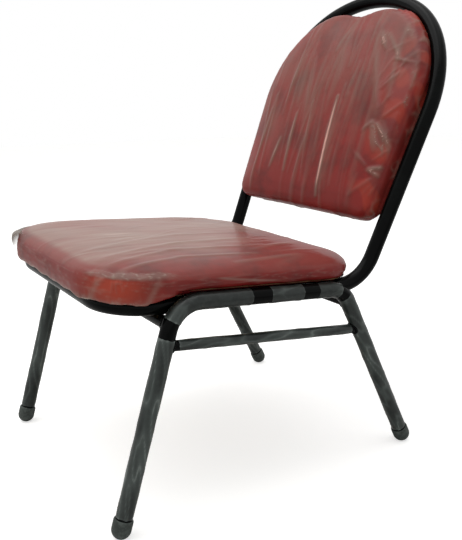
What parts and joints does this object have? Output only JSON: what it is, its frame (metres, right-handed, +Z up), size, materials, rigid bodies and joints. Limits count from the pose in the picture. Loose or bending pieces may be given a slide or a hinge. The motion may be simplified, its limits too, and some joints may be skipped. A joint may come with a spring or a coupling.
{
  "type": "visitor chair",
  "caption": "Armless visitor chair: bent steel tube frame with a round-topped back hoop, a padded seat and a padded back.",
  "frame": {"origin": "on the floor, below the middle of the chair's box", "axes": "+Z up, the chair faces -Y, +X to the viewer's right when looking along +Y"},
  "size_m": [0.491, 0.6995, 0.808],
  "materials": {
    "black_lacquer": "gloss",
    "foot_rubber": "satin",
    "red_vinyl": "satin",
    "rear_panel": "satin",
    "plywood": "matte",
    "foam": "matte",
    "bare_steel": "satin"
  },
  "bodies": {
    "root": {"main_frame_tube": "black_lacquer", "leg_frame_left": "black_lacquer", "leg_frame_right": "black_lacquer", "side_stretcher_left": "black_lacquer", "side_stretcher_right": "black_lacquer", "front_cross_tube": "black_lacquer", "rear_cross_tube": "black_lacquer", "back_pad_tabs": "black_lacquer", "main_tube_joint_sleeve": "bare_steel", "foot_front_left": "foot_rubber", "foot_front_right": "foot_rubber", "foot_rear_left": "foot_rubber", "foot_rear_right": "foot_rubber", "seat_cover": "red_vinyl", "back_cover": "red_vinyl", "back_rear_panel": "rear_panel", "seat_board": "plywood", "back_board": "plywood", "seat_foam": "foam", "back_foam": "foam", "seat_tee_nuts": "bare_steel", "back_tee_nuts": "bare_steel", "seat_screws": "bare_steel", "back_screws": "bare_steel", "seat_spacers": "foot_rubber"}
  },
  "joints": []
}
